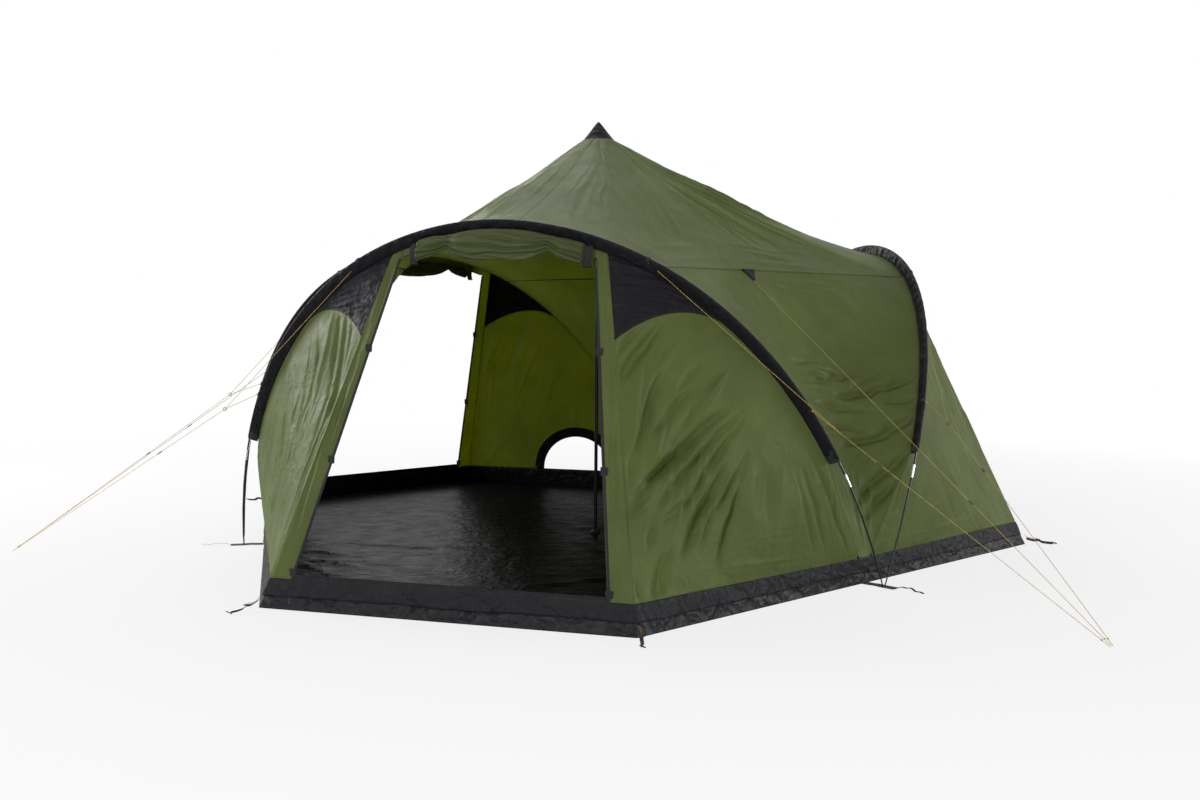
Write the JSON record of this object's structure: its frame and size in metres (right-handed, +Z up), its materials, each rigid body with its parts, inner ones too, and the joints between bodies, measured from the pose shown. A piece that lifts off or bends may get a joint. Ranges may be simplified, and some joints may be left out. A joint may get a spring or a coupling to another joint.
{
  "type": "tipi tent",
  "caption": "Large olive tipi tent with a centre pole, three leaning arch poles in charcoal sleeves, open front doorway with its door rolled up, dark groundsheet and yellow guy lines",
  "frame": {"origin": "on the ground under the centre pole", "axes": "+X to the right seen from the front doorway, +Y from the front doorway to the rear foot, +Z up along the centre pole"},
  "size_m": [6.8486, 5.886, 3],
  "materials": {
    "olive": "matte",
    "charcoal": "matte",
    "hem": "satin",
    "groundsheet": "gloss",
    "pole": "satin",
    "ferrule": "satin",
    "webbing": "matte",
    "plastic": "matte",
    "cord": "matte"
  },
  "bodies": {
    "tent": {"arch_crown_front": "pole", "arch_crown_right": "pole", "arch_crown_left": "pole", "leg_front_r": "pole", "leg_front_l": "pole", "leg_right_r": "pole", "leg_right_l": "pole", "leg_left_r": "pole", "leg_left_l": "pole", "ferrule_front_r": "ferrule", "ferrule_front_l": "ferrule", "ferrule_right_r": "ferrule", "ferrule_right_l": "ferrule", "ferrule_left_r": "ferrule", "ferrule_left_l": "ferrule", "centre_pole_foot": "plastic", "centre_pole_lower": "pole", "centre_pole_upper": "pole", "apex_cap": "charcoal", "arch_sleeve_front": "charcoal", "arch_sleeve_right": "charcoal", "arch_sleeve_left": "charcoal", "bay_wall_front": "olive", "bay_wall_right": "olive", "bay_wall_left": "olive", "roof_right": "olive", "roof_rear": "olive", "roof_left": "olive", "valley_wall_right": "olive", "valley_wall_rear": "olive", "valley_wall_left": "olive", "door_right": "olive", "door_roll_front": "olive", "door_roll_left": "olive", "vent_border": "charcoal", "hem_band": "hem", "groundsheet": "groundsheet", "foot_strap_right": "webbing", "foot_strap_rear": "webbing", "foot_strap_left": "webbing", "guy_front_r": "cord", "guy_branch_front_r": "cord", "guy_right_l": "cord", "guy_branch_right_l": "cord", "guy_front_l": "cord", "guy_branch_front_l": "cord", "guy_left_r": "cord", "guy_branch_left_r": "cord", "guy_valley_r": "cord", "guy_valley_l": "cord"},
    "tensioner_front_r": {"tensioner_front_r": "plastic"},
    "tensioner_right_l": {"tensioner_right_l": "plastic"},
    "tensioner_front_l": {"tensioner_front_l": "plastic"},
    "tensioner_left_r": {"tensioner_left_r": "plastic"},
    "tensioner_valley_r": {"tensioner_valley_r": "plastic"},
    "tensioner_valley_l": {"tensioner_valley_l": "plastic"},
    "zip_pull_l": {"zip_pull_l": "plastic"},
    "zip_pull_r": {"zip_pull_r": "plastic"}
  },
  "joints": [
    {"name": "tensioner_front_r_slide", "type": "slide", "parent": "tent", "child": "tensioner_front_r", "axis": [0.7778, -0.3319, -0.5338], "range_m": [-0.2, 0.45]},
    {"name": "tensioner_right_l_slide", "type": "slide", "parent": "tent", "child": "tensioner_right_l", "axis": [0.436, -0.7479, -0.5005], "range_m": [-0.3, 0.45]},
    {"name": "tensioner_front_l_slide", "type": "slide", "parent": "tent", "child": "tensioner_front_l", "axis": [-0.8336, -0.1029, -0.5427], "range_m": [-0.3, 0.45]},
    {"name": "tensioner_left_r_slide", "type": "slide", "parent": "tent", "child": "tensioner_left_r", "axis": [-0.5185, -0.6474, -0.5586], "range_m": [-0.4, 0.45]},
    {"name": "tensioner_valley_r_slide", "type": "slide", "parent": "tent", "child": "tensioner_valley_r", "axis": [0.6479, -0.5013, -0.5735], "range_m": [-0.45, 0.45]},
    {"name": "tensioner_valley_l_slide", "type": "slide", "parent": "tent", "child": "tensioner_valley_l", "axis": [-0.7093, -0.3901, -0.5872], "range_m": [-0.45, 0.45]},
    {"name": "zip_pull_l_slide", "type": "slide", "parent": "tent", "child": "zip_pull_l", "axis": [-0.1564, -0.3818, -0.9109], "range_m": [-0.02, 1.6]},
    {"name": "zip_pull_r_slide", "type": "slide", "parent": "tent", "child": "zip_pull_r", "axis": [0.1564, -0.3818, -0.9109], "range_m": [-0.02, 1.6]}
  ]
}
